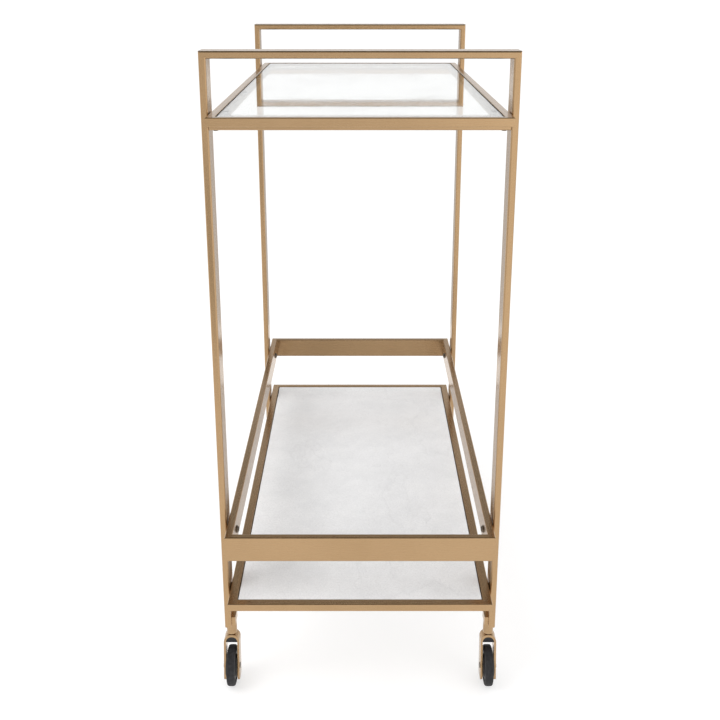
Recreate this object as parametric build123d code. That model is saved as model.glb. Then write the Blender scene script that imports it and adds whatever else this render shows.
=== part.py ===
from build123d import *
import os

# A bar cart on four swivel casters. Two flat-bar end frames carry a glass top shelf,
# a bottle guard and a marble bottom shelf. Millimetres, +Z up, X across the cart,
# Y along it, origin on the floor under the middle of the cart.

# ---- overall sizes ----
cart_width = 381.0            # across the outer faces of the legs
cart_length = 762.0           # length of the shelves and of the guard
cart_height = 889.0           # floor to the top of the handles

# ---- end frames ----
bar_thickness = 9.0           # flat bar of legs, handles and cross bars
bar_depth = 35.0              # the same bar, measured along the cart
bar_edge_radius = 2.0
shelf_overhang = 35.0         # shelf end beyond the leg's outer end face

# ---- shelves ----
side_gap = 1.0                # spacer between a leg and the rails beside it
handle_rise = 73.0            # top of the handles above the top shelf
bottom_shelf_top = 158.0
top_bar_width = 10.0
bottom_bar_width = 12.0
ledge_thickness = 2.0
ledge_width = 12.0
shelf_edge_radius = 1.2
glass_thickness = 6.0
marble_thickness = 7.5
slab_reveal = 0.5             # shelf surface below the top of its frame
slab_gap = 1.5                # play between a slab and its frame, each side
glass_pad_height = 2.5        # between the ledge and the glass
marble_pad_height = 1.0
glass_corner_radius = 2.0
marble_corner_radius = 1.5
slab_edge_chamfer = 0.6
pad_diameter = 9.0
pads_per_side = 4
pads_per_end = 2
strap_width = 25.0
strap_count = 3

# ---- bottle guard ----
guard_top = 261.0
guard_height = 36.0
guard_thickness = 10.0
guard_edge_radius = 1.6

# ---- screws ----
thread_clearance = 0.05       # radial play drawn between a screw and its tapped hole
m6_diameter = 6.0
m6_head_diameter = 10.5
m6_head_height = 3.3
m6_hole_diameter = 6.6
m6_key = 4.0
m5_diameter = 5.0
m5_head_diameter = 9.5
m5_head_height = 2.75
m5_hole_diameter = 5.5
m5_key = 3.0
key_depth_share = 0.55        # depth of the hex socket over the head's height
tapped_skin = 1.8             # metal left over the end of a tapped hole
screw_end_gap = 0.7           # free depth past the end of a screw
spacer_diameter = 14.0

# ---- casters ----
collar_diameter = 14.5
collar_height = 19.4
stud_diameter = 8.0
stud_length = 11.5
foot_block_skin = 0.8         # metal left over the stud's hole
foot_block_depth = 24.0
swivel_gap = 0.3              # axial play of the swivel
spigot_diameter = 7.0
swivel_clearance = 0.06       # radial, spigot in fork and bearing
retainer_diameter = 11.0
retainer_height = 2.0
retainer_clearance = 0.6
fork_bottom = 9.0
fork_thickness = 3.0
fork_shoulder_radius = 10.2
fork_top_depth = 16.0
fork_foot_depth = 24.0
fork_toe_radius = 6.0
caster_trail = 12.0           # axle behind the swivel axis, towards -Y
wheel_headroom = 6.4          # between the tyre and the bearing block
bearing_height = 9.3
bearing_clearance = 0.05
bearing_chamfer = 0.7
wheel_diameter = 57.0
tyre_width = 11.4
tyre_side_gap = 2.4           # between the tyre and each fork arm
tyre_depth = 7.5
tyre_crown = 1.6              # fall from the middle of the tread to its shoulder
tyre_shoulder_radius = 2.4
tyre_seat_clearance = 0.02
axle_diameter = 6.0
axle_head_diameter = 9.0
axle_head_height = 0.9
axle_seat_clearance = 0.02
wheel_bore_clearance = 0.06
hub_side_play = 0.3
hub_boss_diameter = 32.0
hub_boss_chamfer = 0.8
hub_rim_width = 9.6

# ---- worked out ----
half_width = cart_width / 2
half_length = cart_length / 2
leg_inner = half_width - bar_thickness
rail_outer = leg_inner - side_gap
leg_y = half_length - shelf_overhang - bar_depth / 2
stem_x = half_width - collar_diameter / 2
foot_block_width = collar_diameter - bar_thickness
wheel_radius = wheel_diameter / 2
fork_inner_width = tyre_width + 2 * tyre_side_gap
fork_width = fork_inner_width + 2 * fork_thickness
bearing_bottom = wheel_diameter + wheel_headroom
bearing_top = bearing_bottom + bearing_height
fork_top = bearing_top + fork_thickness
collar_bottom = fork_top + swivel_gap
leg_bottom = collar_bottom + collar_height
foot_block_height = stud_length + screw_end_gap + foot_block_skin
top_shelf_top = cart_height - handle_rise
top_bar_height = ledge_thickness + glass_pad_height + glass_thickness + slab_reveal
bottom_bar_height = ledge_thickness + marble_pad_height + marble_thickness + slab_reveal
top_frame_bottom = top_shelf_top - top_bar_height
bottom_frame_bottom = bottom_shelf_top - bottom_bar_height
guard_screw_z = guard_top - guard_height / 2
sides = {"left": -1, "right": 1}
ends = {"front": -1, "rear": 1}

os.makedirs("parts", exist_ok=True)


def save(shape, node):
    """Writes one node, giving it its own name as the label."""
    shape.label = node
    export_step(shape, f"parts/{node}.step")


def cylinder(radius, height, at, along=(0, 0, 1)):
    """A cylinder whose base centre is at a point and whose axis runs along a direction."""
    return Plane(origin=at, z_dir=along) * Cylinder(
        radius, height, align=(Align.CENTER, Align.CENTER, Align.MIN)
    )


def rounded_bar(size, along, radius, centre):
    """A box with the edges along one axis rounded, centred on a point."""
    box = Box(*size)
    box = fillet(box.edges().filter_by(along), radius)
    return Pos(*centre) * box


# ---- screws ----
def button_screw(diameter, head_diameter, head_height, key, length, at, along):
    """A button head screw: the head's seat is at a point, the shank runs along a direction."""
    dome = head_height * 0.75
    head = cylinder(head_diameter / 2, head_height, (0, 0, -head_height))
    top_edge = head.edges().filter_by(GeomType.CIRCLE).sort_by(Axis.Z)[0]
    head = chamfer(top_edge, dome, head_diameter / 5)
    shank = cylinder(diameter / 2, length, (0, 0, 0))
    shank = chamfer(shank.edges().filter_by(GeomType.CIRCLE).sort_by(Axis.Z)[-1], diameter / 10)
    socket = Pos(0, 0, -head_height) * extrude(
        RegularPolygon(key / 2, 6, major_radius=False), amount=head_height * key_depth_share
    )
    return Plane(origin=at, z_dir=along) * (head + shank - socket)


def tapped_hole(diameter, depth, at, along):
    """The hole a screw threads into, a little wider than the screw's outside."""
    return cylinder(diameter / 2 + thread_clearance, depth, at, along)


guard_places = [(sx, sy) for sx in sides.values() for sy in ends.values()]
guard_tap_depth = bar_thickness - tapped_skin
guard_screw_length = guard_thickness + side_gap + guard_tap_depth - screw_end_gap


def shelf_screw_x(bar_width):
    """Distance from the middle of the cart to the screws in the middle of a side bar."""
    return rail_outer - bar_width / 2


def shelf_tap_depth(bar_height):
    """Depth of the tapped hole in the underside of a side bar."""
    return bar_height - tapped_skin


# ---- end frames ----
def leg(sx, sy):
    """A flat bar standing on its caster, mitred at the top to meet the handle."""
    height = cart_height - leg_bottom
    centre = (sx * (half_width - bar_thickness / 2), sy * leg_y, leg_bottom + height / 2)
    body = rounded_bar((bar_thickness, bar_depth, height), Axis.Z, bar_edge_radius, centre)
    corner = Plane(origin=(sx * half_width, 0, cart_height), z_dir=(sx, 0, -1))
    body = split(body, bisect_by=corner, keep=Keep.TOP)
    body -= tapped_hole(m6_diameter, guard_tap_depth, (sx * leg_inner, sy * leg_y, guard_screw_z), (sx, 0, 0))
    return body - stud_hole(sx, sy)


def stud_hole(sx, sy):
    """The tapped hole for the caster's stud, shared by the leg and its foot block."""
    foot = (sx * stem_x, sy * leg_y, leg_bottom)
    return tapped_hole(stud_diameter, stud_length + screw_end_gap, foot, (0, 0, 1))


def handle(sy):
    """The bar across the top of an end frame, mitred at both ends."""
    centre = (0, sy * leg_y, cart_height - bar_thickness / 2)
    body = rounded_bar((cart_width, bar_depth, bar_thickness), Axis.X, bar_edge_radius, centre)
    for sx in sides.values():
        corner = Plane(origin=(sx * half_width, 0, cart_height), z_dir=(-sx, 0, 1))
        body = split(body, bisect_by=corner, keep=Keep.TOP)
    return body


def cross_bar(sy, frame_bottom, bar_width):
    """The bar between two legs that a shelf frame rests on and is screwed to from below."""
    centre = (0, sy * leg_y, frame_bottom - bar_thickness / 2)
    body = rounded_bar((2 * leg_inner, bar_depth, bar_thickness), Axis.X, bar_edge_radius, centre)
    for sx in sides.values():
        foot = (sx * shelf_screw_x(bar_width), sy * leg_y, frame_bottom - bar_thickness)
        body -= cylinder(m5_hole_diameter / 2, bar_thickness, foot)
    return body


def foot_block(sx, sy):
    """The small block welded inside a leg's foot, which widens it to the caster's collar."""
    centre = (sx * (leg_inner - foot_block_width / 2), sy * leg_y, leg_bottom + foot_block_height / 2)
    body = Pos(*centre) * Box(foot_block_width, foot_block_depth, foot_block_height)
    inner_edges = body.edges().filter_by(Axis.Z).sort_by(Axis.X)
    inner_edges = inner_edges[:2] if sx > 0 else inner_edges[-2:]
    return fillet(inner_edges, foot_block_width / 3) - stud_hole(sx, sy)


for end, sy in ends.items():
    save(handle(sy), f"handle_{end}")
    save(cross_bar(sy, top_frame_bottom, top_bar_width), f"upper_cross_bar_{end}")
    save(cross_bar(sy, bottom_frame_bottom, bottom_bar_width), f"lower_cross_bar_{end}")
    for side, sx in sides.items():
        save(leg(sx, sy), f"leg_{end}_{side}")
save(Compound([foot_block(sx, sy) for sx, sy in guard_places]), "foot_blocks")


# ---- shelf frames and bottle guard ----
# The four bars of a rectangle, named in turn and taken anticlockwise from above.
corners = {
    "right": ((1, -1), (1, 1)),
    "rear": ((1, 1), (-1, 1)),
    "left": ((-1, 1), (-1, -1)),
    "front": ((-1, -1), (1, -1)),
}


def mitred_rail(name, profile, bottom):
    """Runs a profile along one side of the shelf rectangle and mitres both ends at 45 degrees."""
    (x0, y0), (x1, y1) = corners[name]
    start = Vector(x0 * rail_outer, y0 * half_length, bottom)
    finish = Vector(x1 * rail_outer, y1 * half_length, bottom)
    run = (finish - start).normalized()
    inward = Vector(-run.Y, run.X, 0)
    rail = extrude(Plane(origin=start, x_dir=inward, z_dir=run) * profile, amount=(finish - start).length)
    rail = split(rail, bisect_by=Plane(origin=start, z_dir=run - inward), keep=Keep.TOP)
    return split(rail, bisect_by=Plane(origin=finish, z_dir=-run - inward), keep=Keep.TOP)


def angle_profile(bar_width, bar_height):
    """A shelf bar's section: u from the outer face inwards, v upwards, with a ledge for the slab."""
    inner = bar_width + ledge_width
    outline = Polyline(
        (0, 0), (inner, 0), (inner, ledge_thickness), (bar_width, ledge_thickness),
        (bar_width, bar_height), (0, bar_height), close=True,
    )
    face = make_face(outline)
    top = face.vertices().filter_by_position(Axis.Y, bar_height, bar_height)
    face = fillet(top, shelf_edge_radius)
    return fillet(face.vertices().sort_by_distance((0, 0))[0], shelf_edge_radius)


def guard_profile():
    """The guard's flat bar on edge, with all four edges eased."""
    face = Pos(guard_thickness / 2, guard_height / 2) * Rectangle(guard_thickness, guard_height)
    return fillet(face.vertices(), guard_edge_radius)


def shelf_frame(prefix, bar_width, bar_height, bottom):
    """Saves a shelf's four mitred bars, with tapped holes in the side bars for the frame screws."""
    for name in corners:
        rail = mitred_rail(name, angle_profile(bar_width, bar_height), bottom)
        for sx, sy in guard_places:
            if name in sides and sides[name] == sx:
                foot = (sx * shelf_screw_x(bar_width), sy * leg_y, bottom)
                rail -= tapped_hole(m5_diameter, shelf_tap_depth(bar_height), foot, (0, 0, 1))
        save(rail, f"{prefix}_{name}")


def slab(bar_width, top, thickness, corner_radius):
    """A shelf slab with eased edges, lying inside its frame with play all round."""
    play = bar_width + slab_gap
    body = Box(2 * (rail_outer - play), 2 * (half_length - play), thickness)
    body = fillet(body.edges().filter_by(Axis.Z), corner_radius)
    rims = body.faces().sort_by(Axis.Z)[0].edges() + body.faces().sort_by(Axis.Z)[-1].edges()
    body = chamfer(rims, slab_edge_chamfer)
    return Pos(0, 0, top - slab_reveal - thickness / 2) * body


def spread(count, reach):
    """Places spaced evenly between minus reach and plus reach."""
    return [reach * (2 * i / (count - 1) - 1) for i in range(count)]


def slab_pads(bar_width, height, frame_bottom):
    """Round pads on the ledges, which the slab lies on."""
    seat = frame_bottom + ledge_thickness
    px = rail_outer - bar_width - ledge_width / 2
    py = half_length - bar_width - ledge_width / 2
    along = [(sx * px, y) for sx in sides.values() for y in spread(pads_per_side, py * 0.86)]
    across = [(x, sy * py) for sy in ends.values() for x in spread(pads_per_end, px * 0.4)]
    return Compound([cylinder(pad_diameter / 2, height, (x, y, seat)) for x, y in along + across])


def support_straps():
    """Flat straps welded between the bottom frame's side ledges, under the marble."""
    reach = 2 * (rail_outer - bottom_bar_width - ledge_width)
    z = bottom_frame_bottom + ledge_thickness / 2
    places = spread(strap_count, half_length / 2)
    return Compound([Pos(0, y, z) * Box(reach, strap_width, ledge_thickness) for y in places])


shelf_frame("top_rail", top_bar_width, top_bar_height, top_frame_bottom)
shelf_frame("bottom_rail", bottom_bar_width, bottom_bar_height, bottom_frame_bottom)
save(slab(top_bar_width, top_shelf_top, glass_thickness, glass_corner_radius), "glass_shelf")
save(slab(bottom_bar_width, bottom_shelf_top, marble_thickness, marble_corner_radius), "marble_slab")
save(slab_pads(top_bar_width, glass_pad_height, top_frame_bottom), "glass_pads")
save(slab_pads(bottom_bar_width, marble_pad_height, bottom_frame_bottom), "marble_pads")
save(support_straps(), "support_straps")

for name in corners:
    rail = mitred_rail(name, guard_profile(), guard_top - guard_height)
    for sx, sy in guard_places:
        if name in sides and sides[name] == sx:
            seat = (sx * (rail_outer - guard_thickness), sy * leg_y, guard_screw_z)
            rail -= cylinder(m6_hole_diameter / 2, guard_thickness, seat, (sx, 0, 0))
    save(rail, f"guard_rail_{name}")


# ---- fasteners ----
def guard_spacer(sx, sy):
    """The thin washer that holds a guard rail off its leg."""
    at = (sx * rail_outer, sy * leg_y, guard_screw_z)
    ring = Cylinder(spacer_diameter / 2, side_gap) - Cylinder(m6_hole_diameter / 2, side_gap)
    return Plane(origin=at, z_dir=(sx, 0, 0)) * Pos(0, 0, side_gap / 2) * ring


def guard_screw(sx, sy):
    """The button head screw that holds a guard rail to its leg."""
    at = (sx * (rail_outer - guard_thickness), sy * leg_y, guard_screw_z)
    return button_screw(
        m6_diameter, m6_head_diameter, m6_head_height, m6_key, guard_screw_length, at, (sx, 0, 0)
    )


def shelf_screws(bar_width, bar_height, frame_bottom):
    """The button head screws that hold a shelf frame down on its two cross bars."""
    length = bar_thickness + shelf_tap_depth(bar_height) - screw_end_gap
    seat_z = frame_bottom - bar_thickness
    seats = [(sx * shelf_screw_x(bar_width), sy * leg_y, seat_z) for sx, sy in guard_places]
    sizes = (m5_diameter, m5_head_diameter, m5_head_height, m5_key, length)
    return Compound([button_screw(*sizes, seat, (0, 0, 1)) for seat in seats])


save(Compound([guard_spacer(sx, sy) for sx, sy in guard_places]), "guard_spacers")
save(Compound([guard_screw(sx, sy) for sx, sy in guard_places]), "guard_screws")
save(shelf_screws(top_bar_width, top_bar_height, top_frame_bottom), "top_shelf_screws")
save(shelf_screws(bottom_bar_width, bottom_bar_height, bottom_frame_bottom), "bottom_shelf_screws")


# ---- casters, drawn with the swivel axis on X = 0, Y = 0 ----
counterbore_depth = swivel_gap + retainer_height + swivel_gap
counterbore_roof = bearing_bottom + counterbore_depth
spigot_bottom = counterbore_roof - swivel_gap - retainer_height


def caster_stem():
    """Collar, stud above it, spigot below it and the retainer that holds the fork up."""
    collar = cylinder(collar_diameter / 2, leg_bottom - collar_bottom, (0, 0, collar_bottom))
    collar = chamfer(collar.edges().filter_by(GeomType.CIRCLE).sort_by(Axis.Z)[0], bearing_chamfer)
    stud = cylinder(stud_diameter / 2, stud_length, (0, 0, leg_bottom))
    stud = chamfer(stud.edges().filter_by(GeomType.CIRCLE).sort_by(Axis.Z)[-1], stud_diameter / 10)
    spigot = cylinder(spigot_diameter / 2, collar_bottom - spigot_bottom, (0, 0, spigot_bottom))
    retainer = cylinder(retainer_diameter / 2, retainer_height, (0, 0, spigot_bottom))
    return collar + stud + spigot + retainer


def arch_face(width, top, bottom, radius):
    """An arch with two rounded shoulders, drawn looking along the cart."""
    face = Pos(0, (top + bottom) / 2) * Rectangle(width, top - bottom)
    shoulders = face.vertices().sort_by(Axis.Y)[-2:]
    return Plane.XZ * fillet(shoulders, radius)


def spigot_hole():
    """The running hole through the fork's crown and the bearing block."""
    return cylinder(spigot_diameter / 2 + swivel_clearance, fork_top - bearing_bottom, (0, 0, bearing_bottom))


def caster_fork():
    """A strip bent over the wheel, leaning back from the swivel axis to the axle."""
    outer = arch_face(fork_width, fork_top, fork_bottom, fork_shoulder_radius)
    inner = arch_face(fork_inner_width, bearing_top, 0, fork_shoulder_radius - fork_thickness)
    arch = extrude(outer, wheel_diameter, both=True) - extrude(inner, wheel_diameter, both=True)
    outline = make_face(Polyline(
        (-fork_top_depth / 2, fork_top), (fork_top_depth / 2, fork_top),
        (fork_foot_depth / 2 - caster_trail, fork_bottom), (-fork_foot_depth / 2 - caster_trail, fork_bottom),
        close=True,
    ))
    outline = fillet(outline.vertices().sort_by(Axis.Y)[:2], fork_toe_radius)
    strip = arch & extrude(Plane.YZ * outline, fork_width, both=True)
    strip -= spigot_hole()
    hole = cylinder(
        axle_diameter / 2 + axle_seat_clearance, fork_width,
        (-fork_width / 2, -caster_trail, wheel_radius), (1, 0, 0),
    )
    return strip - hole


def caster_bearing():
    """The block under the fork's crown that turns on the spigot, recessed for the retainer."""
    face = arch_face(
        fork_inner_width - 2 * bearing_clearance, bearing_top, bearing_bottom,
        fork_shoulder_radius - fork_thickness - bearing_clearance,
    )
    block = extrude(face, fork_top_depth / 2, both=True)
    lower = block.faces().sort_by(Axis.Z)[0].edges()
    block = chamfer(lower, bearing_chamfer)
    block -= spigot_hole()
    recess = retainer_diameter / 2 + retainer_clearance
    return block - cylinder(recess, counterbore_depth, (0, 0, bearing_bottom))


def turned(outline):
    """Turns a half section, drawn as axial and radial distances, about the wheel's axle."""
    body = revolve(make_face(outline), Axis.X)
    return Pos(0, -caster_trail, wheel_radius) * body


def wheel_tyre():
    """A crowned rubber tread with rounded shoulders."""
    half = tyre_width / 2
    inner = wheel_radius - tyre_depth
    shoulder = wheel_radius - tyre_crown
    tread = ThreePointArc((-half, shoulder), (0, wheel_radius), (half, shoulder))
    rest = Polyline((half, shoulder), (half, inner), (-half, inner), (-half, shoulder))
    body = turned(tread + rest)
    rims = body.edges().filter_by(GeomType.CIRCLE).group_by(SortBy.RADIUS)[-1]
    return fillet(rims, tyre_shoulder_radius)


def wheel_hub():
    """A moulded hub: a rim that carries the tyre and a broad boss that runs on the axle."""
    boss_half = fork_inner_width / 2 - hub_side_play
    boss_radius = hub_boss_diameter / 2
    rim_half = hub_rim_width / 2
    rim_radius = wheel_radius - tyre_depth - tyre_seat_clearance
    steps = [
        (boss_half, axle_diameter / 2 + wheel_bore_clearance), (boss_half, boss_radius - hub_boss_chamfer),
        (boss_half - hub_boss_chamfer, boss_radius), (rim_half, boss_radius), (rim_half, rim_radius),
    ]
    return turned(Polyline(*steps, *[(-x, r) for x, r in reversed(steps)], close=True))


def caster_axle():
    """A plain pin with a low head riveted over each side of the fork."""
    end = fork_width / 2
    head = end + axle_head_height
    outline = Polyline(
        (-head, 0), (-head, axle_head_diameter / 2 - axle_head_height), (-end, axle_head_diameter / 2),
        (-end, axle_diameter / 2), (end, axle_diameter / 2), (end, axle_head_diameter / 2),
        (head, axle_head_diameter / 2 - axle_head_height), (head, 0), close=True,
    )
    return turned(outline)


caster_pieces = {
    "caster_stem": caster_stem,
    "caster_fork": caster_fork,
    "caster_bearing": caster_bearing,
    "caster_axle": caster_axle,
    "wheel_hub": wheel_hub,
    "wheel_tyre": wheel_tyre,
}
for piece, make in caster_pieces.items():
    master = make()
    for end, sy in ends.items():
        for side, sx in sides.items():
            save(Pos(sx * stem_x, sy * leg_y, 0) * master, f"{piece}_{end}_{side}")
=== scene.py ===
# %% [markdown]
# # A brass bar cart on four swivel casters
# The cart is two flat-bar end frames, joined by a glass shelf, a marble shelf and a guard
# rail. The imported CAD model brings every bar, slab and caster at its real size, so this
# script is about what metal, stone, glass and rubber look like, and about the few pieces
# that a CAD solid draws too plainly. Everything is in metres, with +Z up.

# %% Load the frame
import math

import bpy
import numpy as np
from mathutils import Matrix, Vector


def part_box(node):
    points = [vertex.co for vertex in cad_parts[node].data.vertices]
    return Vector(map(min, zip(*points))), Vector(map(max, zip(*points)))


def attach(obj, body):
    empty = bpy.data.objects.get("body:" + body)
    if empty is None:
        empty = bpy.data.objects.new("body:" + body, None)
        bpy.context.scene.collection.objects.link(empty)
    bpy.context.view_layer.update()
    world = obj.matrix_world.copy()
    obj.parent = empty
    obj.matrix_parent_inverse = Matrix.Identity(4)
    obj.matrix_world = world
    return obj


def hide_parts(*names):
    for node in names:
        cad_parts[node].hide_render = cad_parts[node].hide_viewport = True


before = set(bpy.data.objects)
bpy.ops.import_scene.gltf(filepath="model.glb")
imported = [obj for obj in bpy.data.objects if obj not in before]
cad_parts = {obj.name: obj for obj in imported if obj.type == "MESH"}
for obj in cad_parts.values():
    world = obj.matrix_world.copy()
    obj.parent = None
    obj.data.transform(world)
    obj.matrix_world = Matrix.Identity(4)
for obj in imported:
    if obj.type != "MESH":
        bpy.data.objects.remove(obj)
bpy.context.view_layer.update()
scene = bpy.context.scene

# %% [markdown]
# ## Where things are
# The casters come in four places. Their centres and the sizes of tyre and hub are read from
# the model, so the wheel pieces stay where they belong on a cart of another length.

# %% Caster places
PLACES = [f"{end}_{side}" for end in ("front", "rear") for side in ("left", "right")]


def centre(node):
    """The middle of a CAD node's box: half the sum of its two corners."""
    low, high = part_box(node)
    return (low + high) / 2


tyre_low, tyre_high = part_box("wheel_tyre_front_left")
TYRE_RADIUS = (tyre_high.z - tyre_low.z) / 2
TYRE_HALF_WIDTH = (tyre_high.x - tyre_low.x) / 2
hub_low, hub_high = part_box("wheel_hub_front_left")
HUB_RADIUS = (hub_high.z - hub_low.z) / 2
HUB_HALF_WIDTH = (hub_high.x - hub_low.x) / 2
print("tyre radius", round(TYRE_RADIUS, 4), "hub radius", round(HUB_RADIUS, 4))

# %% [markdown]
# ## The camera
# The cart is seen from the front end, from a little above its handles. Sliding a lens down
# instead of tilting it keeps uprights parallel, but the slide stays for every view. A tenth
# of the frame is what the side and rear views leave room for, and tilting makes up the rest.

# %% Camera
CAMERA_PLACE = (0.0, -1.541, 0.974)
CAMERA_TILT_DOWN = 17.47
CAMERA_LENS = 49.73
CAMERA_SLIDE = -0.10
SENSOR_WIDTH = 36.0

camera_data = bpy.data.cameras.new("camera")
camera_data.lens = CAMERA_LENS
camera_data.sensor_width = SENSOR_WIDTH
camera_data.shift_y = CAMERA_SLIDE
camera = bpy.data.objects.new("camera", camera_data)
camera.location = CAMERA_PLACE
camera.rotation_euler = (math.radians(90 - CAMERA_TILT_DOWN), 0, 0)
scene.collection.objects.link(camera)
scene.camera = camera
scene.view_settings.view_transform = "Standard"
print("camera at", CAMERA_PLACE)

# %% [markdown]
# ## Floor
# A catalogue studio stands a piece on a white sweep, where light comes from everywhere and
# leaves hardly a shadow. The floor here is a wide pale sheet that also glows a little, as a
# light table does, because that thins the shadows and leaves the cart's own shading alone.

# %% Floor
FLOOR_HALF = 90.0
FLOOR_GREY = 0.48
FLOOR_ROUGHNESS = 0.8
FLOOR_GLOW = 0.56


def stage_material(name, colour, roughness, glow):
    """A plain surface for the stage, which glows by a given amount."""
    material = bpy.data.materials.new(name)
    material.use_nodes = True
    shader = material.node_tree.nodes["Principled BSDF"]
    shader.inputs["Base Color"].default_value = (*colour, 1)
    shader.inputs["Roughness"].default_value = roughness
    shader.inputs["Emission Color"].default_value = (1, 1, 1, 1)
    shader.inputs["Emission Strength"].default_value = glow
    return material


def stage_sheet(name, corners, material):
    """A flat sheet with four corners, in one material."""
    mesh = bpy.data.meshes.new(name)
    mesh.from_pydata(corners, [], [(0, 1, 2, 3)])
    mesh.materials.append(material)
    sheet = bpy.data.objects.new(name, mesh)
    scene.collection.objects.link(sheet)
    return sheet


floor = stage_sheet(
    "floor",
    [(-FLOOR_HALF, -FLOOR_HALF, 0), (FLOOR_HALF, -FLOOR_HALF, 0),
     (FLOOR_HALF, FLOOR_HALF, 0), (-FLOOR_HALF, FLOOR_HALF, 0)],
    stage_material("pale_floor", (FLOOR_GREY,) * 3, FLOOR_ROUGHNESS, FLOOR_GLOW),
)
print("floor", 2 * FLOOR_HALF, "m across")

# %% [markdown]
# ## Lights
# Two soft boxes, a strong one high on the left and a weak one lower on the right, give the
# bars a lit side and a less lit one. They are large, so that their shadows have soft edges.

# %% Lights
# Each soft box's place, the point it is turned to, the length of its side and its power.
SOFT_BOXES = {
    "key": ((-2.0, -1.2, 2.4), (0, 0, 0.4), 1.6, 26),
    "side": ((2.4, -2.2, 1.3), (0, 0, 0.5), 1.4, 9),
}


def soft_box(name, place, aim, size, power):
    """A square area light at a place, its -Z axis turned towards the point it lights."""
    light = bpy.data.lights.new(name, "AREA")
    light.shape = "SQUARE"
    light.size = size
    light.energy = power
    holder = bpy.data.objects.new(name, light)
    holder.location = place
    holder.rotation_mode = "QUATERNION"
    holder.rotation_quaternion = (Vector(aim) - Vector(place)).to_track_quat("-Z", "Y")
    scene.collection.objects.link(holder)


for name, (place, aim, size, power) in SOFT_BOXES.items():
    soft_box(name, place, aim, size, power)
print("soft boxes", list(SOFT_BOXES))

# %% [markdown]
# ## Cards
# Polished metal is graded with cards: a grey one darkens an edge, a white one lifts it.
# These three are seen only in mirror rays, so they cast no shadow. The grey card stands
# left of the lens, the white one right of it, and a small grey one behind the cart is
# there for the inner sides of the legs.

# %% Cards
# Each card's place along the cart, its left and right edges, its height and its level.
CARDS = {
    "grey_card": (-1.75, -1.6, -0.22, 0.50, 0.61),
    "white_card": (-1.75, 0.22, 1.6, 1.00, 1.32),
    "back_card": (1.20, -0.35, 0.35, 0.86, 0.66),
}
for name, (card_y, left, right, top, level) in CARDS.items():
    card = stage_sheet(
        name,
        [(left, card_y, 0), (right, card_y, 0), (right, card_y, top), (left, card_y, top)],
        stage_material(name, (0.0, 0.0, 0.0), 1.0, level),
    )
    for kind in ("camera", "diffuse", "transmission", "shadow", "volume_scatter"):
        setattr(card, f"visible_{kind}", False)
print("cards", list(CARDS))

# %% [markdown]
# ## Sky and room
# An even white sky lights the cart. Metal shows what surrounds it, and in an even white room
# it would look like cream paint. So mirror rays see a room with bands: a bright wall low
# down, a darker one above it and a dark ceiling, which draws a dark line along upper edges,
# while the bright floor draws a cream one along lower edges. Behind the lens the room is
# also darker on its left than on its right. Only the world's light is split this way, and no
# surface knows where the camera is.

# %% Sky and room
SKY = 1.08
# The upward part of a direction, and how bright the room is there.
WALL_HEIGHTS = ((0.0, 1.05), (0.20, 1.0), (0.32, 0.38), (0.64, 0.40), (0.80, 0.20), (1.0, 0.16))
LEFT_SHARE, RIGHT_SHARE = 0.50, 1.25
# The grading from left to right, over these parts of a direction. It fades out ahead.
SIDE_REACH = 0.5
FRONT_REACH = 0.2

world = bpy.data.worlds.new("studio")
world.use_nodes = True
tree = world.node_tree
even = tree.nodes["Background"]
even.inputs["Color"].default_value = (1, 1, 1, 1)
even.inputs["Strength"].default_value = SKY
direction = tree.nodes.new("ShaderNodeSeparateXYZ")
tree.links.new(tree.nodes.new("ShaderNodeTexCoord").outputs["Generated"], direction.inputs[0])
walls = tree.nodes.new("ShaderNodeValToRGB")
ramp = walls.color_ramp
while len(ramp.elements) < len(WALL_HEIGHTS):
    ramp.elements.new(0.5)
for element, (height, level) in zip(ramp.elements, WALL_HEIGHTS):
    element.position = height
    element.color = (level, level, level, 1)
tree.links.new(direction.outputs["Z"], walls.inputs["Fac"])
sideways = tree.nodes.new("ShaderNodeMapRange")
side_range = {
    "From Min": -SIDE_REACH, "From Max": SIDE_REACH, "To Min": LEFT_SHARE, "To Max": RIGHT_SHARE,
}
for label, number in side_range.items():
    sideways.inputs[label].default_value = number
tree.links.new(direction.outputs["X"], sideways.inputs["Value"])
in_front = tree.nodes.new("ShaderNodeMapRange")
in_front.inputs["From Min"].default_value = -FRONT_REACH
in_front.inputs["From Max"].default_value = FRONT_REACH
tree.links.new(direction.outputs["Y"], in_front.inputs["Value"])
share = tree.nodes.new("ShaderNodeMix")
share.inputs["B"].default_value = 1.0
tree.links.new(in_front.outputs["Result"], share.inputs["Factor"])
tree.links.new(sideways.outputs["Result"], share.inputs["A"])
room = tree.nodes.new("ShaderNodeBackground")
tree.links.new(walls.outputs["Color"], room.inputs["Color"])
tree.links.new(share.outputs["Result"], room.inputs["Strength"])
choose = tree.nodes.new("ShaderNodeMixShader")
tree.links.new(tree.nodes.new("ShaderNodeLightPath").outputs["Is Glossy Ray"], choose.inputs["Fac"])
tree.links.new(even.outputs[0], choose.inputs[1])
tree.links.new(room.outputs[0], choose.inputs[2])
tree.links.new(choose.outputs[0], tree.nodes["World Output"].inputs["Surface"])
scene.world = world

# %% [markdown]
# ## Node helpers
# Each finish is a small network. These helpers keep the wiring readable: one makes a node
# and sets its values, one joins two sockets, one opens a group with named sockets.

# %% Helpers
def add(tree, kind, **values):
    """Makes a node; a value named after a socket sets the socket, any other the node."""
    node = tree.nodes.new(kind)
    for name, value in values.items():
        label = name.replace("_", " ").title()
        if label in node.inputs:
            node.inputs[label].default_value = value
        else:
            setattr(node, name, value)
    return node


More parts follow.
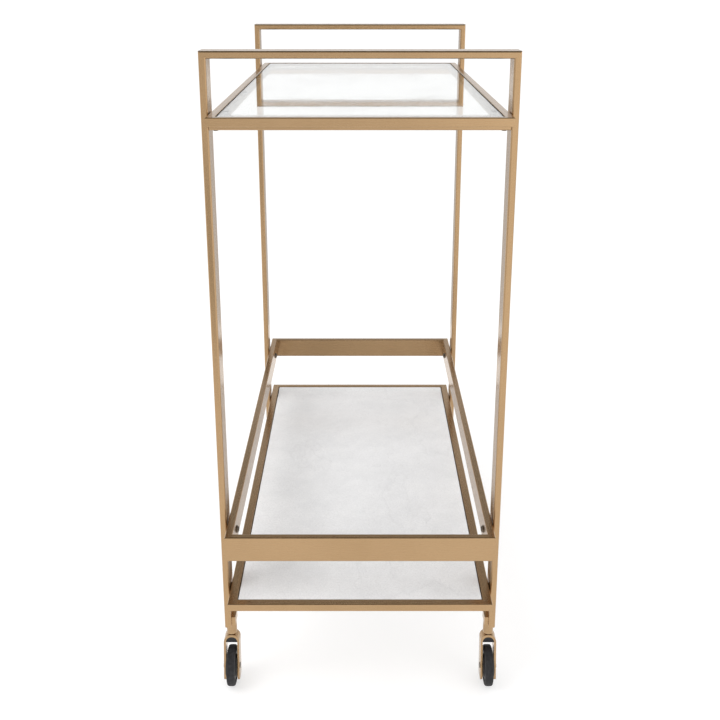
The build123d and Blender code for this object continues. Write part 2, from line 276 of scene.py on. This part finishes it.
def group(name, inputs, outputs):
    """A shader group with float, colour or vector sockets, and its two end nodes."""
    tree = bpy.data.node_groups.new(name, "ShaderNodeTree")
    kinds = {"f": "NodeSocketFloat", "c": "NodeSocketColor", "v": "NodeSocketVector"}
    for label, kind in inputs.items():
        tree.interface.new_socket(label, in_out="INPUT", socket_type=kinds[kind])
    for label, kind in outputs.items():
        tree.interface.new_socket(label, in_out="OUTPUT", socket_type=kinds[kind])
    return tree, tree.nodes.new("NodeGroupInput"), tree.nodes.new("NodeGroupOutput")


def noise(tree, vector, scale, detail=3.0, rough=0.5):
    """A noise texture read along a vector."""
    node = add(tree, "ShaderNodeTexNoise", scale=scale, detail=detail, roughness=rough)
    tree.links.new(vector, node.inputs["Vector"])
    return node.outputs["Fac"]


def spread(tree, value, low, high, to_low, to_high):
    """Carries a value from one range to another, held at the ends."""
    node = tree.nodes.new("ShaderNodeMapRange")
    for label, number in zip(("From Min", "From Max", "To Min", "To Max"), (low, high, to_low, to_high)):
        if hasattr(number, "links"):
            tree.links.new(number, node.inputs[label])
        else:
            node.inputs[label].default_value = number
    tree.links.new(value, node.inputs["Value"])
    return node.outputs["Result"]


def blend_colour(tree, share, first, second):
    """A mix of two colours, which may be sockets or plain colours."""
    node = add(tree, "ShaderNodeMix", data_type="RGBA")
    tree.links.new(share, node.inputs["Factor"])
    for socket, colour in ((node.inputs[6], first), (node.inputs[7], second)):
        if hasattr(colour, "links"):
            tree.links.new(colour, socket)
        else:
            socket.default_value = (*colour, 1)
    return node.outputs[2]


def bump(tree, height, distance):
    """A normal bent by a height, where a height of one stands for a distance in metres."""
    node = add(tree, "ShaderNodeBump", distance=distance, strength=1.0)
    tree.links.new(height, node.inputs["Height"])
    return node.outputs["Normal"]


print("node helpers are ready")

# %% [markdown]
# ## Brushed metal
# Flat bar is linished on a belt before it is plated, so fine scratches run along its
# length and the shine smears across it. Noise stretched along the bar gives both scales:
# hairlines, and the slow cloudiness of a hand-rubbed antique finish. The stretch is set by
# a Mapping node, so one group serves bars that run along X, Y or Z.

# %% Brushing group
PATINA_SHARE = 0.55
STREAK_SHARE = 0.14
COAT_WEIGHT, COAT_ROUGHNESS = 0.18, 0.12
BRUSH_DEPTH = 0.000006

brushing, ins, outs = group(
    "brushing",
    {"Vector": "v", "Place": "v", "Light": "c", "Dark": "c", "Smooth": "f", "Rough": "f"},
    {"Color": "c", "Roughness": "f", "Height": "f"},
)
hairlines = noise(brushing, ins.outputs["Vector"], 1.0, detail=4.0, rough=0.65)
clouds = noise(brushing, ins.outputs["Place"], 9.0, detail=5.0, rough=0.55)
patina = spread(brushing, clouds, 0.36, 0.68, 0.0, 1.0)
streaks = spread(brushing, hairlines, 0.30, 0.70, 0.0, 1.0)
both = add(brushing, "ShaderNodeMath", operation="MULTIPLY_ADD")
both.inputs[1].default_value = PATINA_SHARE
brushing.links.new(patina, both.inputs[0])
brushing.links.new(spread(brushing, hairlines, 0.30, 0.70, 0.0, STREAK_SHARE), both.inputs[2])
tint = blend_colour(brushing, both.outputs[0], ins.outputs["Light"], ins.outputs["Dark"])
brushing.links.new(tint, outs.inputs["Color"])
polish = spread(brushing, streaks, 0.0, 1.0, ins.outputs["Smooth"], ins.outputs["Rough"])
brushing.links.new(polish, outs.inputs["Roughness"])
brushing.links.new(hairlines, outs.inputs["Height"])


def brass(name, stretch, light, dark, smooth, rough):
    """Brushed metal whose hairlines are stretched by a scale for each axis."""
    material = bpy.data.materials.new(name)
    material.use_nodes = True
    tree = material.node_tree
    shader = tree.nodes["Principled BSDF"]
    shader.inputs["Metallic"].default_value = 1.0
    shader.inputs["Coat Weight"].default_value = COAT_WEIGHT
    shader.inputs["Coat Roughness"].default_value = COAT_ROUGHNESS
    place = tree.nodes.new("ShaderNodeTexCoord").outputs["Object"]
    mapping = add(tree, "ShaderNodeMapping", scale=stretch)
    tree.links.new(place, mapping.inputs["Vector"])
    finish = add(tree, "ShaderNodeGroup", node_tree=brushing)
    finish.inputs["Light"].default_value = (*light, 1)
    finish.inputs["Dark"].default_value = (*dark, 1)
    finish.inputs["Smooth"].default_value = smooth
    finish.inputs["Rough"].default_value = rough
    tree.links.new(mapping.outputs["Vector"], finish.inputs["Vector"])
    tree.links.new(place, finish.inputs["Place"])
    tree.links.new(finish.outputs["Color"], shader.inputs["Base Color"])
    tree.links.new(finish.outputs["Roughness"], shader.inputs["Roughness"])
    tree.links.new(bump(tree, finish.outputs["Height"], BRUSH_DEPTH), shader.inputs["Normal"])
    return material


ACROSS, ALONG = 3200.0, 30.0
SATIN_GRAIN, BRONZE_GRAIN = 320.0, 700.0
LIGHT_BRASS, DARK_BRASS = (0.455, 0.298, 0.158), (0.395, 0.254, 0.130)
LIGHT_SATIN, DARK_SATIN = (0.44, 0.292, 0.158), (0.30, 0.195, 0.100)
LIGHT_BRONZE, DARK_BRONZE = (0.20, 0.165, 0.13), (0.09, 0.07, 0.055)
BAR_POLISH, SATIN_POLISH, BRONZE_POLISH = (0.20, 0.31), (0.16, 0.28), (0.25, 0.42)
brass_x = brass("brass_brushed_x", (ALONG, ACROSS, ACROSS), LIGHT_BRASS, DARK_BRASS, *BAR_POLISH)
brass_y = brass("brass_brushed_y", (ACROSS, ALONG, ACROSS), LIGHT_BRASS, DARK_BRASS, *BAR_POLISH)
brass_z = brass("brass_brushed_z", (ACROSS, ACROSS, ALONG), LIGHT_BRASS, DARK_BRASS, *BAR_POLISH)
brass_satin = brass("brass_satin", (SATIN_GRAIN,) * 3, LIGHT_SATIN, DARK_SATIN, *SATIN_POLISH)
bronze = brass("dark_bronze", (BRONZE_GRAIN,) * 3, LIGHT_BRONZE, DARK_BRONZE, *BRONZE_POLISH)
print("brushed finishes", [m.name for m in (brass_x, brass_y, brass_z, brass_satin, bronze)])

# %% [markdown]
# ## Marble
# White marble is fine crystal with a few grey veins. A vein is where a folded sheet of
# mineral meets the cut, so it is drawn as the thin band where a warped noise crosses its
# middle value: the distance from that value, made narrow, gives a line of uneven width.


# %% Marble
# Each set of veins: the noise's scale, the line's width in noise, and its strength.
VEINS = ((2.2, 0.006, 0.12), (6.5, 0.004, 0.06))
VEIN_TURN, VEIN_STRETCH = 0.6, 0.45
CLEAN_STONE, CLOUDED_STONE = (0.900, 0.903, 0.911), (0.795, 0.800, 0.811)
CRYSTAL_STONE, VEIN_STONE = (0.70, 0.704, 0.714), (0.46, 0.46, 0.475)
CRYSTAL_SHARE = 0.38
GRAIN_DEPTH = 0.00002


def vein(tree, place, scale, width, strength):
    """Thin lines where noise crosses one half: a strength that falls to nothing over a width."""
    field = noise(tree, place, scale, detail=6.0, rough=0.6)
    away = add(tree, "ShaderNodeMath", operation="SUBTRACT")
    away.inputs[1].default_value = 0.5
    tree.links.new(field, away.inputs[0])
    size = add(tree, "ShaderNodeMath", operation="ABSOLUTE")
    tree.links.new(away.outputs[0], size.inputs[0])
    return spread(tree, size.outputs[0], 0.0, width, strength, 0.0)


marble = bpy.data.materials.new("white_marble_honed")
marble.use_nodes = True
tree = marble.node_tree
shader = tree.nodes["Principled BSDF"]
shader.inputs["IOR"].default_value = 1.49
shader.inputs["Coat Weight"].default_value = 0.25
shader.inputs["Coat Roughness"].default_value = 0.15
place = tree.nodes.new("ShaderNodeTexCoord").outputs["Object"]
turned = add(tree, "ShaderNodeMapping", rotation=(0, 0, VEIN_TURN), scale=(1.0, VEIN_STRETCH, 1.0))
tree.links.new(place, turned.inputs["Vector"])
lines = add(tree, "ShaderNodeMath", operation="MAXIMUM")
for socket, (scale, width, strength) in zip(lines.inputs, VEINS):
    tree.links.new(vein(tree, turned.outputs["Vector"], scale, width, strength), socket)
clouding = spread(tree, noise(tree, place, 16.0, detail=8.0, rough=0.72), 0.36, 0.66, 0.0, 1.0)
body = blend_colour(tree, clouding, CLEAN_STONE, CLOUDED_STONE)
crystals = spread(tree, noise(tree, place, 330.0, detail=2.0, rough=0.7), 0.38, 0.62, 0.0, CRYSTAL_SHARE)
body = blend_colour(tree, crystals, body, CRYSTAL_STONE)
veined = blend_colour(tree, lines.outputs[0], body, VEIN_STONE)
tree.links.new(veined, shader.inputs["Base Color"])
grain = noise(tree, place, 900.0, detail=2.0)
tree.links.new(spread(tree, grain, 0.3, 0.7, 0.22, 0.36), shader.inputs["Roughness"])
tree.links.new(bump(tree, grain, GRAIN_DEPTH), shader.inputs["Normal"])
print("stone", marble.name, "with", len(VEINS), "sets of veins")

# %% [markdown]
# ## Glass
# The top shelf is clear toughened glass. Its iron takes a few hundredths of the light, so it
# hardly shows against a white room. It is never perfectly clean: a faint film changes how
# sharply it mirrors, so roughness is what varies, and nothing bends the face.

# %% Glass
GLASS_TINT = (0.940, 0.958, 0.952)
FILM_ROUGHNESS = 0.05

glass = bpy.data.materials.new("clear_glass")
glass.use_nodes = True
tree = glass.node_tree
shader = tree.nodes["Principled BSDF"]
shader.inputs["Base Color"].default_value = (*GLASS_TINT, 1)
shader.inputs["Transmission Weight"].default_value = 1.0
shader.inputs["IOR"].default_value = 1.5
place = tree.nodes.new("ShaderNodeTexCoord").outputs["Object"]
film = noise(tree, place, 14.0, detail=6.0, rough=0.6)
tree.links.new(spread(tree, film, 0.40, 0.75, 0.0, FILM_ROUGHNESS), shader.inputs["Roughness"])
print("glass", glass.name)

# %% [markdown]
# ## Moulded plastic and rubber
# The caster's bearing block and hub are moulded nylon, whose skin copies a spark-eroded
# tool. The tread is dull rubber, mottled where it has picked up dust. Both are the same
# effect in other colours and depths, so one group makes them, and the clear pads too.

# %% Moulded group
MOULDED_SHINE = 0.35

moulded, ins, outs = group(
    "moulded_skin",
    {"Vector": "v", "Clean": "c", "Dusty": "c", "Smooth": "f", "Rough": "f"},
    {"Color": "c", "Roughness": "f", "Height": "f"},
)
pores = noise(moulded, ins.outputs["Vector"], 2600.0, detail=2.0)
mottle = noise(moulded, ins.outputs["Vector"], 240.0, detail=5.0, rough=0.6)
dust = spread(moulded, mottle, 0.38, 0.70, 0.0, 1.0)
skin_colour = blend_colour(moulded, dust, ins.outputs["Clean"], ins.outputs["Dusty"])
moulded.links.new(skin_colour, outs.inputs["Color"])
skin_rough = spread(moulded, mottle, 0.3, 0.7, ins.outputs["Smooth"], ins.outputs["Rough"])
moulded.links.new(skin_rough, outs.inputs["Roughness"])
moulded.links.new(pores, outs.inputs["Height"])


def moulding(name, clean, dusty, smooth, rough, depth):
    """A moulded skin: its clean and dusty colours, its roughness range and its pores' depth."""
    material = bpy.data.materials.new(name)
    material.use_nodes = True
    tree = material.node_tree
    shader = tree.nodes["Principled BSDF"]
    shader.inputs["Specular IOR Level"].default_value = MOULDED_SHINE
    skin = add(tree, "ShaderNodeGroup", node_tree=moulded)
    skin.inputs["Clean"].default_value = (*clean, 1)
    skin.inputs["Dusty"].default_value = (*dusty, 1)
    skin.inputs["Smooth"].default_value = smooth
    skin.inputs["Rough"].default_value = rough
    place = tree.nodes.new("ShaderNodeTexCoord").outputs["Object"]
    tree.links.new(place, skin.inputs["Vector"])
    tree.links.new(skin.outputs["Color"], shader.inputs["Base Color"])
    tree.links.new(skin.outputs["Roughness"], shader.inputs["Roughness"])
    tree.links.new(bump(tree, skin.outputs["Height"], depth), shader.inputs["Normal"])
    return material


nylon = moulding(
    "black_nylon", clean=(0.012, 0.012, 0.013), dusty=(0.028, 0.028, 0.03),
    smooth=0.32, rough=0.48, depth=0.00004,
)
rubber = moulding(
    "grey_black_rubber", clean=(0.010, 0.010, 0.011), dusty=(0.034, 0.033, 0.035),
    smooth=0.60, rough=0.85, depth=0.00009,
)
soft_pad = moulding(
    "clear_soft_pad", clean=(0.74, 0.75, 0.74), dusty=(0.62, 0.63, 0.62),
    smooth=0.25, rough=0.45, depth=0.00003,
)
print("moulded skins", [m.name for m in (nylon, rubber, soft_pad)])

# %% [markdown]
# ## Dressing the CAD pieces
# A bar's finish depends on the way it runs, so each node is given the brass whose
# hairlines follow its own length. The longest side of its box says which.


# %% Finishes
def bar_finish(node):
    """The brass whose hairlines follow the longest side of the node's box."""
    low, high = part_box(node)
    sides = list(high - low)
    return (brass_x, brass_y, brass_z)[sides.index(max(sides))]


FINISHES = {
    "caster_stem": brass_satin, "caster_fork": brass_satin, "caster_axle": bronze,
    "caster_bearing": nylon, "wheel_hub": nylon, "wheel_tyre": rubber,
    "guard_screws": bronze, "top_shelf_screws": bronze, "bottom_shelf_screws": bronze,
    "guard_spacers": bronze, "glass_shelf": glass, "marble_slab": marble,
    "glass_pads": soft_pad, "marble_pads": soft_pad,
    "support_straps": brass_x, "foot_blocks": brass_z,
}


def finish_of(node):
    """The finish for a node: its own, that of its family, or brushed bar."""
    for start, material in FINISHES.items():
        if node.startswith(start):
            return material
    return bar_finish(node)


for name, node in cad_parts.items():
    for index in range(len(node.material_slots)):
        node.material_slots[index].material = finish_of(name)
print("dressed", len(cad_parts), "nodes")

# %% [markdown]
# ## Turned wheel parts
# The CAD tyre and hub are plain turned shapes. A real tread has a fine line where the two
# mould halves met and a small step where it grips the rim, and a moulded hub is cored out
# between ribs to save plastic. Both are grids wrapped round the axle, worked out as whole
# arrays from a function, and they stand in for the CAD nodes.


# %% Surface helper
def full_turn(count):
    """Equal angles once round the wheel, as a single row."""
    return np.linspace(0, 2 * math.pi, count, endpoint=False)[None, :]


def turned_piece(name, across, radius, body, material, node):
    """A closed turned surface about an axle along X: each point sits at its distance across
    the wheel, and at its radius times the cosine and sine of the turn. The grid wraps both ways."""
    rows, turns = radius.shape
    turn = full_turn(turns)
    middle = centre(node)
    points = np.stack([
        middle.x + across,
        middle.y + radius * np.cos(turn),
        middle.z + radius * np.sin(turn),
    ], axis=-1).reshape(-1, 3)
    row, column = np.meshgrid(np.arange(rows), np.arange(turns), indexing="ij")
    next_row, next_column = (row + 1) % rows, (column + 1) % turns
    faces = np.stack([
        row * turns + column, next_row * turns + column,
        next_row * turns + next_column, row * turns + next_column,
    ], axis=-1).reshape(-1, 4)
    mesh = bpy.data.meshes.new(name)
    mesh.from_pydata(points.tolist(), [], faces.tolist())
    mesh.polygons.foreach_set("use_smooth", np.ones(len(mesh.polygons), bool))
    mesh.materials.append(material)
    piece = bpy.data.objects.new(name, mesh)
    scene.collection.objects.link(piece)
    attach(piece, body)
    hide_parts(node)


print("surface helper is ready")

# %% [markdown]
# ## Treads
# The tread is flat where it rolls and rounded at its shoulders. An angle's cosine and sine,
# raised to one small power, give that section, and two narrow bells add the mould line and
# the step at the rim.

# %% Tyre outline
TYRE_TURNS, TYRE_STEPS = 192, 72
TYRE_DEPTH = 0.0075
SHOULDER_POWER = 0.42
LINE_HEIGHT, LINE_WIDTH = 0.00012, 0.0004
STEP_DEPTH = 0.0004
STEP_PLACE, STEP_WIDTH = 0.45, 0.06


def tyre_outline():
    """The tread's outline, from one side over the top to the other; the grid closes it inside.
    Across is the half width times the cosine of an angle raised to a small power, which
    squares the shoulders; height is the sine raised likewise. A narrow bell adds the mould
    line at the middle, and a second one takes a groove from each side."""
    angle = np.linspace(0, math.pi, TYRE_STEPS)
    across = TYRE_HALF_WIDTH * np.sign(np.cos(angle)) * np.abs(np.cos(angle)) ** SHOULDER_POWER
    rise = np.abs(np.sin(angle)) ** SHOULDER_POWER
    inner = TYRE_RADIUS - TYRE_DEPTH
    radius = inner + (TYRE_RADIUS - LINE_HEIGHT - inner) * rise
    radius = radius + LINE_HEIGHT * np.exp(-(across / LINE_WIDTH) ** 2)
    groove = np.exp(-((rise - STEP_PLACE) / STEP_WIDTH) ** 2)
    return across - np.sign(across) * STEP_DEPTH * groove, radius


tyre_across, tyre_radius = (
    np.repeat(line[:, None], TYRE_TURNS, axis=1) for line in tyre_outline()
)
for spot in PLACES:
    turned_piece(
        f"tread_{spot}", tyre_across, tyre_radius,
        f"wheel_{spot}", rubber, f"wheel_tyre_{spot}",
    )
print("treads", tyre_across.size, "points each")

# %% [markdown]
# ## Hubs
# A moulded hub is cored out between its ribs, which saves plastic and lets it cool evenly.
# Its outline is one grid, whose two faces are sunk in a ring that stops at every rib.

# %% Hub outline
HUB_TURNS, HUB_STEPS = 180, 40
HUB_BORE = 0.00306
BOSS_RADIUS = 0.016
RIM_HALF_WIDTH = 0.0048
RIM_BEVEL = 0.0004
HUB_RIBS = 6
RIB_SHARE, RIB_SPREAD = 0.16, 2.2
CORE_DEPTH, CORE_FADE = 0.0022, 0.0007
CORE_INNER, CORE_OUTER = 0.0058, 0.0145


def soft_step(value, low, high):
    """0 below low, 1 above high, and three squares less two cubes of the share between."""
    share = np.clip((value - low) / (high - low), 0, 1)
    return share * share * (3 - 2 * share)


def hub_outline():
    """The hub's closed outline, taken from the bore out over one face, round the rim and back.
    Each face is sunk by a core: a ring that fades at both its edges, times a wave round the
    wheel that drops to nothing at every rib."""
    face = np.linspace(HUB_BORE, BOSS_RADIUS, HUB_STEPS)
    rim = np.array([BOSS_RADIUS, HUB_RADIUS - RIM_BEVEL, HUB_RADIUS, HUB_RADIUS])
    rim_across = np.array([RIM_HALF_WIDTH, RIM_HALF_WIDTH, RIM_HALF_WIDTH - RIM_BEVEL, 0.0])
    wave = np.abs(np.sin(HUB_RIBS * full_turn(HUB_TURNS) / 2))
    between_ribs = soft_step(wave, RIB_SHARE, RIB_SHARE * RIB_SPREAD)
    rising = soft_step(face, CORE_INNER, CORE_INNER + CORE_FADE)
    ring = rising * (1 - soft_step(face, CORE_OUTER - CORE_FADE, CORE_OUTER))
    sunk = HUB_HALF_WIDTH - CORE_DEPTH * ring[:, None] * between_ribs
    right_across = np.vstack([sunk, np.repeat(rim_across[:, None], HUB_TURNS, axis=1)])
    right_radius = np.repeat(np.concatenate([face, rim])[:, None], HUB_TURNS, axis=1)
    return (
        np.vstack([right_across, -right_across[-2::-1]]),
        np.vstack([right_radius, right_radius[-2::-1]]),
    )


hub_across, hub_radius = hub_outline()
for spot in PLACES:
    turned_piece(
        f"cored_hub_{spot}", hub_across, hub_radius,
        f"wheel_{spot}", nylon, f"wheel_hub_{spot}",
    )
print("hubs with", HUB_RIBS, "ribs")
